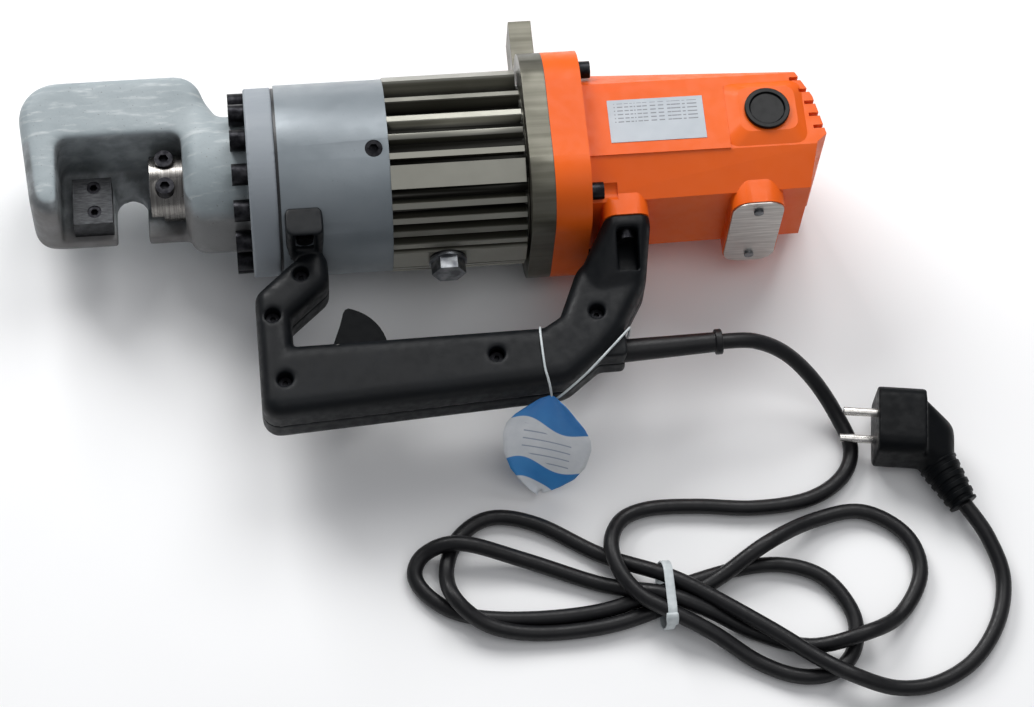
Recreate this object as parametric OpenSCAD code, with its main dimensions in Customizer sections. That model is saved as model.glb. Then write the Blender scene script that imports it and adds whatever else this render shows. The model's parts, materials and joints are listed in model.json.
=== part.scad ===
// Portable electro-hydraulic rebar cutter, 16 mm class.
// The tool lies on its side. Z points up, X runs from the cutting head to the motor,
// and Y points away from the handle. Inside tool(), x is measured from the tip of
// the head, and y and z from the long axis of the tool.

/* [Tool] */
// Length from the head tip to the rear of the motor housing
tool_length = 460; // [455:1:480]
// Half width of the two square flanges, which the tool rests on
flange_half = 56.5; // [56:0.5:60]
// Distance from the axis to the outer edge of the handle
handle_reach = 155; // [150:1:165]
// Distance from the axis to the top of the lug
lug_reach = 90; // [80:1:100]

/* [Stations along the axis] */
// Front face of the head flange
head_flange_start = 129; // [128:0.5:131]
// Rear face of the head flange, where the cylinder starts
head_end = 145; // [144:0.5:147]
// Rear face of the hydraulic cylinder
cylinder_end = 209; // [209:1:212]
// Rear face of the ribbed reservoir
reservoir_end = 287.5; // [287:0.5:288.5]
// Rear face of the dark flange with the lug
lug_flange_end = 301; // [300.5:0.5:302]
// Rear face of the flange of the motor housing
housing_flange_end = 321.5; // [320:0.5:323]

/* [Cutting head] */
// Half thickness of the C-shaped frame
head_half = 29; // [26:0.5:31]
// Distance from the axis to the back of the frame
head_back = 61; // [56:1:64]
// Distance from the axis to the open edge of the frame
head_front = 24; // [22:1:26]
// Width of the slot that takes the bar
jaw_slot = 18; // [17:0.5:20]
// Number of screws that hold the head to the cylinder
head_bolt_count = 14; // [8:1:14]

/* [Hydraulics] */
// Radius of the ram
ram_r = 19; // [18:0.5:20]
// Radius of the piston
piston_r = 27; // [26:0.5:28]
// Radius of the cylinder body
cylinder_r = 55.5; // [54:0.5:56]
// Eccentricity of the pump shaft
pump_throw = 1.5; // [1:0.1:1.5]

/* [Motor housing] */
// Half distance between opposite flats of the housing
housing_half = 44.2; // [44:0.1:46]
// How much narrower each side of the housing is at its rear
housing_taper = 2.2; // [0:0.2:3]

/* [Handle] */
// Half thickness of the grip
grip_half = 19; // [18:0.5:20]
// Half width of the two feet of the handle that hold it to the tool
foot_half = 40; // [38:0.5:40]

/* [Cord] */
// Diameter of the mains cord
cord_d = 9; // [8:0.5:9]

/* [Hidden] */

$fn = 64;
hull_fn = 32;
fit = 0.05;
eps = 1;
axis_y = (handle_reach - lug_reach) / 2;
axis_z = flange_half;

// Head frame
head_edge = 9;
jaw_x = 61;
jaw_top = 7.5;
pocket_start = 21;
pocket_end = 92;
pocket_top = 21;
pocket_floor = -14.5;
neck_x = 94;
neck_r = 39;
neck_edge = 9;
head_flange_r = 54.5;
ram_front = 73;
ram_stroke = 22;
bolt_circle = 46;
bolt_r = 4;
bolt_head_r = 6.25;
bolt_head_h = 9;
bolt_phase = -4;
bolt_end = 154;
seal_ring_r = 31;
seal_ring_w = 1.5;

// Blades
shear_z = 1;
blade_gap = 0.3;
fixed_blade_x = [28, 50.5];
fixed_blade_y = [-20.5, 9];
fixed_screw_x = 40.2;
fixed_screw_y = [2.8, -12.8];
fixed_screw_r = 2.2;
fixed_screw_head_r = 3.9;
moving_blade_end = 91;
moving_blade_half = 12;
moving_blade_top = 13;
moving_screw_x = 81.6;
moving_screw_y = [-9, 8.5];
nose_relief_end = 80;

// Hydraulics
piston_start = 178;
piston_end = 190;
bore_end = 194;
bleed_x = 200.5;
bleed_angle = 12;
pump_y = -22;
throw_x = [256, 266];
throw_r = 9;
plunger_r = 4;
plunger_x = 261;
plunger_stroke = 2 * pump_throw;
plunger_tip = pump_y + throw_r + pump_throw + blade_gap + plunger_stroke;
plunger_length = 18;
plunger_bore_end = 20;
shaft_r = 6;
gear_x = [305, 313];
gear_teeth = 36;
pinion_teeth = 8;
gear_module = 1;
reservoir_bore = 42;
reservoir_wall = 47;
rib_r = 56;
rib_w = 3.4;
rib_angles = [-69, -21, -6, 6, 17.5, 47.5, 57, 66, 76];
wide_rib_w = 13.5;
wide_rib_angles = [-50, 30];
pad_rib_w = 17;
filler_x = 240;

// Housing
cavity_r = 39.5;
gear_room_r = 44;
web_start = 316;
web_end = 322;
cavity_end = 444;
cavity_step = 436;
cavity_rear_r = 27;
rear_seat = 434;
rear_seat_r = 15;
housing_ridge_y = 20;
housing_side_z = 33;
housing_back_y = 27;
housing_back_z = [26, 15];
housing_low_flat = 24;
// how far the rear end is set back at each Y
rear_plan = [[-44.2, 12], [-19, 6], [-14, 0], [11, 5], [27, 13], [44.2, 19]];
louvre_y = [-9, -1, 7, 15, 23];
louvre_w = 2.2;
louvre_depth = 6;
louvre_z = [17, 36];
flange_corner_r = 32;
flange_screw = 39.6;
flange_head_r = 5;
flange_head_h = 7.5;
screw_recess = 16;
brush_x = 427;
pad_foot_x = [402, 449];
pad_foot_y = [-19, 22];
pad_top_x = [411, 444];
pad_top_y = [-11.5, 17];
brush_y = 2;
boss_half = [13, 35];
boss_r = 7;
rear_foot_x = 341.5;
rear_foot_y = -53;
plate_boss_x = 418;
plate_half = [15.5, 36];
plate_r = 11;
plate_boss_y = -51;
plate_screw_z = [-26, 26];
plate_screw_r = 1.5;

// Handle
grip_edge = 8;
front_foot_x = [148, 169.5];
front_foot_y = [-56, -38];
front_screw_x = 158.5;
front_screw_z = 29;
rear_screw_x = 340.5;
rear_screw_z = 26;
mount_screw_r = 3;
mount_head_r = 4.7;
front_seat_y = -50.2;
front_window = [[153.4, 163.6], [-57, front_seat_y], [19.6, 37.5]];
rear_window = [[334.5, 346.5], [-82, -60], [15, 36]];
shell_screws = [[155.3, -69], [137.8, -94], [142.3, -134], [261.3, -127], [320, -104.5]];
shell_screw_r = 1.9;
shell_screw_head_r = 3.8;
trigger_pivot = [173, -116];
trigger_r = 28.5;
trigger_half = 9;
gland_x = [316, 335.5];
gland_y = [-130, -113];
guard_start = [337, -122];
guard_angle = 2;
guard_length = 54;
guard_r = 6.6;

// Route of the cord in the frame of the part. The first point is in the end of the
// guard, the last in the end of the plug. Strands that cross pass one over another.
cord_route = [
    [159.5, -87.7, 56.5], [180, -87, 53], [199, -91, 42], [216, -101, 25], [229, -117, 10.5],
    [236, -137, 4.6], [228, -155, 4.6], [207, -167, 5], [176, -170, 5], [142, -166.5, 5],
    [115, -166, 5], [98, -173, 8], [90, -189, 14], [93, -207, 16], [103, -222, 16],
    [118, -232, 15.5], [142, -246, 11], [166, -263, 5], [188, -273, 5],
    [208, -272, 5], [221, -259, 5], [223, -238, 5], [210, -216, 5], [187, -206, 5],
    [158, -207, 5], [118, -217, 6], [80, -226, 5], [40, -227.5, 5], [6, -223, 5],
    [-13, -212, 5], [-22, -197, 5], [-15, -185, 8], [5, -183, 15], [40, -193, 8],
    [80, -209, 5], [100, -216, 10], [118, -222.5, 15.5], [140, -232, 12],
    [166, -245, 5], [196, -256, 6], [226, -254, 15], [250, -241, 6], [265, -217, 5],
    [260, -193, 5], [237, -177, 5], [208, -181, 7], [178, -196, 15], [148, -213, 8],
    [118, -226, 6], [84, -235, 5], [45, -236.5, 5], [17, -231, 9], [-1, -216, 15],
    [-4, -196, 8], [5, -175.5, 5], [24, -165, 5], [50, -171, 5], [84, -192, 5],
    [118, -210.5, 15.5], [142, -225, 15.5], [176, -249, 15], [197, -265, 14],
    [217, -278, 15], [241, -285, 8], [265, -283, 5], [288, -271, 5], [305, -249, 5],
    [312, -223, 5], [306, -199, 9], [295.5, -180, 12]
];
cord_sides = 8;
plug_at = [248.4, -131.6, 21.8];
plug_turn = [0, 0, -8];
plug_half = [20.3, 17.5];
plug_length = 28;
plug_corner_r = 8;
plug_roll = 60;
plug_pin_gap = 9.5;
plug_pin_r = 2.4;
plug_pin_length = 19;
elbow = [282.5, -138, 17];
boot_start = [281.5, -151, 14.5];
boot_end = [294.5, -179, 12];
tie_x = 118;
tie_y = [-231, -211.5];
tie_z = 10.8;
tie_r = 9.4;
tie_wall = 1.2;

// ---- helpers ----

module tool() {
    translate([-tool_length / 2, axis_y, axis_z]) children();
}

module bar_x(x0, x1, r, y = 0, z = 0) {
    translate([x0, y, z]) rotate([0, 90, 0]) cylinder(h = x1 - x0, r = r);
}

module bar_y(y0, y1, r, x = 0, z = 0) {
    translate([x, y1, z]) rotate([90, 0, 0]) cylinder(h = y1 - y0, r = r);
}

module bar_z(z0, z1, r, x = 0, y = 0) {
    translate([x, y, z0]) cylinder(h = z1 - z0, r = r);
}

module block(x, y, z) {
    translate([x[0], y[0], z[0]]) cube([x[1] - x[0], y[1] - y[0], z[1] - z[0]]);
}

module ring_x(x0, x1, r, bore, y = 0, z = 0) {
    difference() {
        bar_x(x0, x1, r, y, z);
        bar_x(x0 - eps, x1 + eps, bore, y, z);
    }
}

// A disc with rounded edges, lying flat. hull() of several makes a rounded slab.
module pebble(x, y, r, half, edge) {
    for (side = [-1, 1])
        translate([x, y, side * (half - edge)])
            rotate_extrude($fn = hull_fn) intersection() {
                translate([r - edge, 0]) circle(r = edge, $fn = 16);
                translate([0, -edge]) square([r, 2 * edge]);
            }
}

module rounded_square(half, r) {
    square([2 * half, 2 * (half - r)], center = true);
    square([2 * (half - r), 2 * half], center = true);
    for (sx = [-1, 1], sy = [-1, 1])
        translate([sx * (half - r), sy * (half - r)]) circle(r = r);
}

module rounded_box_outline(x, y, r) {
    translate([x[0] + r, y[0]]) square([x[1] - x[0] - 2 * r, y[1] - y[0]]);
    translate([x[0], y[0] + r]) square([x[1] - x[0], y[1] - y[0] - 2 * r]);
    for (cx = [x[0] + r, x[1] - r], cy = [y[0] + r, y[1] - r])
        translate([cx, cy]) circle(r = r);
}

// A prism along X with its outline given in Y and Z.
module prism_x(x0, x1) {
    translate([x0, 0, 0]) rotate([90, 0, 90]) linear_extrude(x1 - x0) children();
}

function unit(v) = v / norm(v);

// Rings of points round a path, for swept_tube().
function path_direction(path, i) =
    unit(path[min(i + 1, len(path) - 1)] - path[max(i - 1, 0)]);

function ring_points(path, i, r, sides) =
    let (d = path_direction(path, i),
         side = unit(cross(d, [0, 0, 1])),
         up = cross(side, d))
    [for (k = [0 : sides - 1])
        path[i] + r * (cos(360 * k / sides) * side + sin(360 * k / sides) * up)];

module swept_tube(path, r, sides) {
    count = len(path);
    points = [for (i = [0 : count - 1]) each ring_points(path, i, r, sides)];
    walls = [for (i = [0 : count - 2], k = [0 : sides - 1])
        [i * sides + k, i * sides + (k + 1) % sides,
         (i + 1) * sides + (k + 1) % sides, (i + 1) * sides + k]];
    start_cap = [for (k = [sides - 1 : -1 : 0]) k];
    end_cap = [for (k = [0 : sides - 1]) (count - 1) * sides + k];
    polyhedron(points, concat([start_cap], walls, [end_cap]), convexity = 10);
}

// A compression spring along X that starts at the origin.
module spring_x(length, r, wire_r, turns) {
    steps = 14;
    sides = 6;
    count = turns * steps;
    function ring(i) =
        let (a = 360 * i / steps)
        [for (k = [0 : sides - 1])
            let (b = 360 * k / sides, q = r + wire_r * cos(b))
            [wire_r * sin(b) + length * i / count, q * cos(a), q * sin(a)]];
    points = [for (i = [0 : count]) each ring(i)];
    walls = [for (i = [0 : count - 1], k = [0 : sides - 1])
        [i * sides + (k + 1) % sides, i * sides + k,
         (i + 1) * sides + k, (i + 1) * sides + (k + 1) % sides]];
    start_cap = [for (k = [0 : sides - 1]) k];
    end_cap = [for (k = [sides - 1 : -1 : 0]) count * sides + k];
    polyhedron(points, concat([start_cap], walls, [end_cap]), convexity = 10);
}

// Outline of a spur gear: straight-sided teeth between root and tip.
module gear_outline(teeth, pitch_module, backlash) {
    pitch_r = teeth * pitch_module / 2;
    root_r = pitch_r - 1.2 * pitch_module;
    tip_r = pitch_r + 0.8 * pitch_module;
    step = 360 / teeth;
    root_part = 0.36 - backlash;
    tip_part = 0.13 - backlash / 2;
    polygon([for (i = [0 : teeth - 1]) each [
        root_r * [cos(step * (i - root_part)), sin(step * (i - root_part))],
        tip_r * [cos(step * (i - tip_part)), sin(step * (i - tip_part))],
        tip_r * [cos(step * (i + tip_part)), sin(step * (i + tip_part))],
        root_r * [cos(step * (i + root_part)), sin(step * (i + root_part))]
    ]]);
}

module at_head_bolts() {
    for (i = [0 : head_bolt_count - 1]) rotate([i * 360 / head_bolt_count + bolt_phase, 0, 0])
        translate([0, 0, bolt_circle]) children();
}

module at_flange_screws() {
    for (sy = [-1, 1], sz = [-1, 1])
        translate([0, sy * flange_screw, sz * flange_screw]) children();
}

module hex_socket_cut_x(x, r, depth) {
    translate([x, 0, 0]) rotate([0, 90, 0]) cylinder(h = depth, r = r, $fn = 6);
}

// ---- cutting head ----

module head_frame() {
    hull() {
        pebble(22, head_back - 22, 22, head_half, head_edge);
        pebble(90, head_back - 16, 16, head_half, head_edge);
        pebble(16.5, 12 - head_front, 12, head_half, head_edge);
        pebble(96, 12 - head_front, 12, head_half, head_edge);
    }
    // the shoulder that joins the frame to the neck
    hull() {
        pebble(92, head_back - 18, 14, head_half - 4, head_edge);
        bar_x(112, 114, neck_r - 1, $fn = hull_fn);
        bar_x(neck_x + 4, neck_x + 6, neck_r - 6, $fn = hull_fn);
    }
    translate([neck_x, 0, 0]) rotate([0, 90, 0]) rotate_extrude() {
        square([neck_r - neck_edge, neck_edge + 3]);
        translate([neck_r - neck_edge, neck_edge]) circle(r = neck_edge);
        translate([0, neck_edge]) square([neck_r, head_flange_start - neck_x]);
    }
    bar_x(head_flange_start, head_end, head_flange_r);
}

module cutter_head() color("lightslategray") tool() difference() {
    head_frame();
    // pocket, open on the upper side and towards the handle
    translate([0, 0, pocket_floor]) linear_extrude(head_half - pocket_floor + eps)
        rounded_box_outline([pocket_start, pocket_end], [-70, pocket_top], 6);
    // slot for the bar
    bar_z(-head_half - eps, head_half, jaw_slot / 2, jaw_x, jaw_top - jaw_slot / 2);
    block([jaw_x - jaw_slot / 2, jaw_x + jaw_slot / 2], [-70, jaw_top - jaw_slot / 2],
        [-head_half - eps, head_half]);
    // relief hole at the corner of the fixed blade
    bar_z(-head_half - eps, 0, 5, 34.5, 9.5);
    // bore and trough for the ram
    bar_x(90, head_end + eps, ram_r + fit);
    bar_x(ram_front - ram_stroke + 1, 95, ram_r + blade_gap);
    // screw holes and seal groove
    at_head_bolts() bar_x(head_flange_start - eps, head_end + eps, bolt_r + 0.2);
    for (y = fixed_screw_y) bar_z(-25, 0, fixed_screw_r + fit, fixed_screw_x, y);
    ring_x(head_end - 2, head_end + eps, seal_ring_r + seal_ring_w + fit,
        seal_ring_r - seal_ring_w - fit);
}

module head_bolts() color("black") tool() at_head_bolts() difference() {
    union() {
        bar_x(head_flange_start - bolt_head_h, head_flange_start, bolt_head_r);
        bar_x(head_flange_start, bolt_end, bolt_r);
    }
    hex_socket_cut_x(head_flange_start - bolt_head_h - eps, 3.5, 5);
}

module head_seal_ring() color("black") tool()
    ring_x(head_end - 2 + fit, head_end - fit, seal_ring_r + seal_ring_w,
        seal_ring_r - seal_ring_w);

module fixed_blade() color("dimgray") tool() difference() {
    block(fixed_blade_x, fixed_blade_y, [pocket_floor, shear_z]);
    for (y = fixed_screw_y) {
        bar_z(pocket_floor - eps, shear_z, fixed_screw_r + fit, fixed_screw_x, y);
        bar_z(shear_z - 6, shear_z + eps, fixed_screw_head_r + fit, fixed_screw_x, y);
    }
}

module fixed_blade_screws() color("black") tool()
    for (y = fixed_screw_y) difference() {
        union() {
            bar_z(shear_z - 6, shear_z - 0.5, fixed_screw_head_r, fixed_screw_x, y);
            bar_z(-24.5, shear_z - 6, fixed_screw_r, fixed_screw_x, y);
        }
        translate([fixed_screw_x, y, shear_z - 4]) cylinder(h = 5, r = 2.3, $fn = 6);
    }

// ---- ram, blade and piston: they slide together ----

module piston_ram() color("silver") tool() difference() {
    union() {
        bar_x(ram_front, piston_start + eps, ram_r);
        bar_x(piston_start, piston_end, piston_r);
    }
    // the nose is cut away below the shear plane
    block([ram_front - eps, nose_relief_end], [-30, 30], [-30, shear_z + blade_gap]);
    // slot that holds the blade
    block([ram_front - eps, moving_blade_end + fit],
        [-moving_blade_half - fit, moving_blade_half + fit],
        [shear_z + blade_gap - fit, moving_blade_top + fit]);
    for (y = moving_screw_y) {
        bar_z(0, ram_r + eps, 3 + fit, moving_screw_x, y);
        bar_z(14.5, ram_r + 3, 5.3 + fit, moving_screw_x, y);
    }
    // groove for the piston seal
    ring_x(piston_start + 4, piston_end - 4, piston_r + eps, piston_r - 3.5);
}

module moving_blade() color("gray") tool() difference() {
    block([ram_front - 0.5, moving_blade_end], [-moving_blade_half, moving_blade_half],
        [shear_z + blade_gap, moving_blade_top]);
    for (y = moving_screw_y)
        bar_z(shear_z, moving_blade_top + eps, 3 + fit, moving_screw_x, y);
}

module moving_blade_screws() color("black") tool()
    for (y = moving_screw_y) difference() {
        union() {
            bar_z(14.5, 20.5, 5.3, moving_screw_x, y);
            bar_z(shear_z + 1, 14.5, 3, moving_screw_x, y);
        }
        translate([moving_screw_x, y, 17.5]) cylinder(h = 4, r = 2.9, $fn = 6);
    }

module piston_seal() color("darkslategray") tool()
    ring_x(piston_start + 4 + fit, piston_end - 4 - fit, piston_r,
        piston_r - 3.5 + fit);

module piston_return_spring() color("gray") tool() translate([head_end + 2, 0, 0])
    spring_x(piston_start - head_end - 4, (ram_r + piston_r) / 2, 1.6, 4);

// ---- cylinder and oil reservoir ----

module hydraulic_cylinder() color("slategray") tool() difference() {
    union() {
        bar_x(head_end + 1.5, cylinder_end, cylinder_r);
        bar_x(head_end, head_end + 1.5, cylinder_r - 1.5);
    }
    bar_x(head_end - eps, bore_end, piston_r + fit);
    at_head_bolts() bar_x(head_end - eps, bolt_end + 1, bolt_r + fit);
    // oil way from the pump
    bar_x(bore_end - eps, cylinder_end + eps, 2.5, 17);
    rotate([bleed_angle, 0, 0]) bar_z(cylinder_r - 12, cylinder_r + eps, 5 + fit, bleed_x);
    for (side = [-1, 1])
        bar_y(-50, -34, mount_screw_r + fit, front_screw_x, side * front_screw_z);
}

module bleed_screw() color("black") tool() rotate([bleed_angle, 0, 0]) difference() {
    bar_z(cylinder_r - 11, cylinder_r - 0.3, 5, bleed_x);
    translate([bleed_x, 0, cylinder_r - 4]) cylinder(h = 6, r = 2.9, $fn = 6);
}

module rib(angle, w) {
    rotate([angle, 0, 0])
        block([cylinder_end, reservoir_end - 2], [-w / 2, w / 2], [reservoir_wall - 2, rib_r]);
}

module oil_reservoir() color("darkkhaki") tool() difference() {
    union() {
        bar_x(cylinder_end, reservoir_end, reservoir_wall);
        for (a = rib_angles) {
            rib(a, rib_w);
            rib(180 - a, rib_w);
        }
        for (a = wide_rib_angles) {
            rib(a, wide_rib_w);
            rib(180 - a, wide_rib_w);
        }
        rib(90, pad_rib_w);
    }
    bar_x(cylinder_end + 3, reservoir_end + eps, reservoir_bore);
    bar_x(cylinder_end - eps, cylinder_end + 5, 2.5, 17);
    bar_y(-60, -30, 7 + fit, filler_x);
}

module oil_filler_plug() color("lightsteelblue") tool() difference() {
    union() {
        bar_y(-reservoir_wall + 2, -40, 5, filler_x);
        bar_y(-rib_r - 1.5, -reservoir_wall + 2, 7, filler_x);
        translate([filler_x, -rib_r - 1.5, 0]) rotate([90, 0, 0])
            cylinder(h = 9, r = 9.9, $fn = 6);
        bar_y(-rib_r - 3, -rib_r - 1.5, 11, filler_x);
    }
    bar_y(-44, -39, 2, filler_x);
}

module filler_plug_washer() color("peru") tool() difference() {
    bar_y(-rib_r - 1.5, -rib_r, 10.5, filler_x);
    bar_y(-rib_r - 2, -rib_r + eps, 7 + fit, filler_x);
}

module oil_bladder() color("black") tool()
    ring_x(cylinder_end + 5, reservoir_end - 6, 39.5, 37);

// ---- pump ----

module pump_body() color("gainsboro") tool() difference() {
    bar_x(cylinder_end + 3, reservoir_end, 36);
    // room for the eccentric, shaft way and bearing seat
    bar_x(250, 275, 13, pump_y);
    bar_x(238, reservoir_end + eps, shaft_r + 0.6, pump_y);
    bar_x(275, 285, 11 + fit, pump_y);
    bar_y(pump_y + 8, plunger_bore_end, plunger_r + 0.03, plunger_x);
    bar_x(cylinder_end, plunger_x, 1.5, plunger_bore_end - 3);
    bar_x(cylinder_end, 234, 5 + fit, 12, 22);
}

module pump_plunger() color("silver") tool()
    bar_y(plunger_tip, plunger_tip + plunger_length, plunger_r, plunger_x);

module plunger_spring() color("gray") tool()
    translate([plunger_x, plunger_tip + plunger_length + 0.8, 0]) rotate([0, 0, 90])
        spring_x(plunger_bore_end - plunger_tip - plunger_length - 1.6, 2.8, 0.5, 4);

module relief_valve() color("goldenrod") tool() {
    bar_x(cylinder_end + 4, 232, 5, 12, 22);
}

module eccentric_shaft() color("silver") tool() {
    bar_x(242, gear_x[1] + 2, shaft_r, pump_y);
    bar_x(throw_x[0], throw_x[1], throw_r, pump_y - pump_throw);
}

module eccentric_bearings() color("lightgray") tool() {
    ring_x(275, 285, 11, shaft_r + 0.03, pump_y);
    ring_x(290, 300, 11, shaft_r + 0.03, pump_y);
}

module drive_gear() color("dimgray") tool() translate([0, pump_y, 0]) difference() {
    prism_x(gear_x[0], gear_x[1])
        rotate(360 / gear_teeth / 2) gear_outline(gear_teeth, gear_module, 0.02);
    bar_x(gear_x[0] - eps, gear_x[1] + eps, shaft_r + fit);
    for (a = [0 : 60 : 300]) rotate([a, 0, 0])
        bar_x(gear_x[0] - eps, gear_x[1] + eps, 2.5, 11);
}

module flange_outline() rounded_square(flange_half, flange_corner_r);

module lug_flange() color("darkolivegreen") tool() difference() {
    union() {
        prism_x(reservoir_end, lug_flange_end) flange_outline();
        block([reservoir_end, lug_flange_end], [40, lug_reach], [-14, 14]);
    }
    bar_x(289, lug_flange_end + eps, 11 + fit, pump_y);
    bar_x(reservoir_end - eps, lug_flange_end, shaft_r + 0.6, pump_y);
    at_flange_screws() bar_x(reservoir_end + 2, lug_flange_end + eps, bolt_r + fit);
}

// ---- motor housing ----

// Section of the housing: crowned above, with wide chamfers below.
module housing_outline(inset, back_z) {
    half = housing_half - inset;
    polygon([
        [half, back_z], [housing_back_y, housing_half],
        [-housing_ridge_y, housing_half], [-half, housing_side_z],
        [-half, -housing_low_flat], [-housing_low_flat, -housing_half],
        [housing_low_flat, -housing_half], [half, -housing_low_flat]
    ]);
}

// Plan of the housing: the rear end is a blunt wedge with its ridge off centre.
module rear_wedge() {
    side = 90;
    front = 300;
    translate([0, 0, -side]) linear_extrude(2 * side) polygon(concat(
        [[front, -side], [rear_x(rear_plan[0][0]), -side]],
        [for (p = rear_plan) [tool_length - p[1], p[0]]],
        [[rear_x(side), side], [front, side]]
    ));
}

module brush_pad(side) {
    mirror([0, 0, side < 0 ? 1 : 0]) hull() {
        translate([0, 0, housing_half - 2]) linear_extrude(2, $fn = hull_fn)
            rounded_box_outline(pad_foot_x, pad_foot_y, 7);
        translate([0, 0, housing_half]) linear_extrude(3.3, $fn = hull_fn)
            rounded_box_outline(pad_top_x, pad_top_y, 6);
    }
}

// A column along Y with a rounded rectangular section.
module boss_y(y0, y1, x, half, r) {
    translate([x, y1, 0]) rotate([90, 0, 0]) linear_extrude(y1 - y0)
        rounded_box_outline([-half[0], half[0]], [-half[1], half[1]], r);
}

module housing_body() {
    prism_x(lug_flange_end, housing_flange_end) flange_outline();
    intersection() {
        rear_wedge();
        union() {
            hull() {
                prism_x(lug_flange_end, lug_flange_end + 1)
                    housing_outline(0, housing_back_z[0]);
                prism_x(tool_length - 1, tool_length)
                    housing_outline(housing_taper, housing_back_z[1]);
            }
            // raised panel on each broad side
            block([housing_flange_end, 404], [-20, 22], [-housing_half - 1, housing_half + 1]);
            brush_pad(1);
            brush_pad(-1);
        }
    }
    boss_y(rear_foot_y, -20, rear_foot_x, boss_half, boss_r);
    boss_y(plate_boss_y, -20, plate_boss_x, plate_half, plate_r);
}

module housing_room() {
    bar_x(lug_flange_end - eps, web_start, gear_room_r);
    difference() {
        union() {
            bar_x(web_end, cavity_step, cavity_r);
            bar_x(cavity_step - eps, cavity_end, cavity_rear_r);
        }
        ring_x(rear_seat, cavity_end + eps, rear_seat_r, 11);
    }
    bar_x(web_start - eps, web_end + eps, 13 + fit);
    bar_x(rear_seat, cavity_end, 11 + fit);
}

function rear_x(y) = tool_length - lookup(y, rear_plan);

module louvre(y) {
    block([rear_x(y) - louvre_depth, tool_length + eps], [y - louvre_w / 2, y + louvre_w / 2],
        [-housing_half - eps, housing_half + eps]);
    // the slot is open to the motor above and below the seat of the rear bearing
    for (side = [0, 1])
        mirror([0, 0, side])
            block([rear_seat - eps, tool_length + eps], [y - louvre_w / 2, y + louvre_w / 2], louvre_z);
}

module motor_housing() color("orangered") tool() difference() {
    housing_body();
    housing_room();
    at_flange_screws() {
        bar_x(lug_flange_end - eps, housing_flange_end + eps, bolt_r + 0.2);
        bar_x(housing_flange_end, housing_flange_end + screw_recess, flange_head_r + 1);
    }
    for (side = [-1, 1]) {
        bar_z(side < 0 ? -60 : 30, side < 0 ? -30 : 60, 11 + fit, brush_x, brush_y);
        bar_y(rear_foot_y - eps, -42, mount_screw_r + fit, rear_screw_x, side * rear_screw_z);
    }
    for (z = plate_screw_z)
        bar_y(plate_boss_y - eps, plate_boss_y + 7, plate_screw_r + fit, plate_boss_x, z);
    // cooling louvres in the sloping rear end
    for (y = louvre_y) louvre(y);
}

module flange_screws() color("black") tool() at_flange_screws() difference() {
    union() {
        bar_x(housing_flange_end, housing_flange_end + flange_head_h, flange_head_r);
        bar_x(reservoir_end + 3, housing_flange_end, bolt_r);
    }
    hex_socket_cut_x(housing_flange_end + flange_head_h - 4, 2.9, 5);
}

// ---- motor ----

module rotor_shaft() color("silver") tool() {
    bar_x(web_start - 1, 437, shaft_r);
    bar_x(437, cavity_end - 0.5, 5);
    bar_x(gear_x[1] + 1, web_start - 1, 4);
    prism_x(gear_x[0] - 1, gear_x[1] + 1) gear_outline(pinion_teeth, gear_module, 0.02);
}

module rotor_core() color("gray") tool() difference() {
    bar_x(346, 394, 22.5);
    bar_x(345, 395, shaft_r + fit);
    for (a = [0 : 30 : 330]) rotate([a, 0, 0])
        block([345, 395], [-1, 1], [19, 24]);
}

module commutator() color("chocolate") tool() ring_x(417, 434, 14, shaft_r + fit);

module cooling_fan() color("dimgray") tool() difference() {
    union() {
        ring_x(326, 328, 34, shaft_r + fit);
        ring_x(326, 335, 10, shaft_r + fit);
        for (a = [0 : 30 : 330]) rotate([a, 0, 0])
            block([327, 335], [-0.8, 0.8], [9, 33.5]);
    }
    bar_x(325, 336, shaft_r + fit);
}

module front_bearing() color("lightgray") tool()
    ring_x(web_start, web_end + 2, 13, shaft_r + 0.03);

module rear_bearing() color("lightgray") tool() ring_x(437, 443.9, 11, 5 + 0.03);

module stator_core() color("gray") tool() ring_x(348, 392, cavity_r - fit, 23.5);

module stator_windings() color("peru") tool() {
    ring_x(338, 347.5, 36, 25);
    ring_x(392.5, 404, 36, 25);
}

module brush_holders() color("gold") tool()
    for (side = [-1, 1]) mirror([0, 0, side < 0 ? 1 : 0]) difference() {
        bar_z(16, 40, 7, brush_x, brush_y);
        block([brush_x - 3.6, brush_x + 3.6], [brush_y - 4.6, brush_y + 4.6], [15, 41]);
    }

module carbon_brushes() color("black") tool()
    for (side = [-1, 1]) mirror([0, 0, side < 0 ? 1 : 0])
        block([brush_x - 3.5, brush_x + 3.5], [brush_y - 4.5, brush_y + 4.5], [14.2, 32]);

module brush_caps() color("black") tool()
    for (side = [-1, 1]) mirror([0, 0, side < 0 ? 1 : 0])
        translate([brush_x, brush_y, 0]) difference() {
            union() {
                bar_z(housing_half + 3.3, housing_half + 5.8, 13);
                bar_z(40.2, housing_half + 3.3, 11);
            }
            bar_z(housing_half + 4.6, housing_half + 7, 10);
        }

module side_label() color("whitesmoke") tool()
    block([336, 391], [-12.5, 15], [housing_half + 1, housing_half + 1.3]);

module nameplate() color("silver") tool() difference() {
    boss_y(plate_boss_y - 1, plate_boss_y, plate_boss_x, plate_half - [0.7, 0.7], plate_r - 0.7);
    for (z = plate_screw_z)
        bar_y(plate_boss_y - 2, plate_boss_y + eps, plate_screw_r + fit, plate_boss_x, z);
}

module nameplate_screws() color("lightgray") tool()
    for (z = plate_screw_z) {
        bar_y(plate_boss_y - 2.6, plate_boss_y - 1, 2.8, plate_boss_x, z);
        bar_y(plate_boss_y - 1, plate_boss_y + 6, plate_screw_r, plate_boss_x, z);
    }

// ---- handle ----

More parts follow.
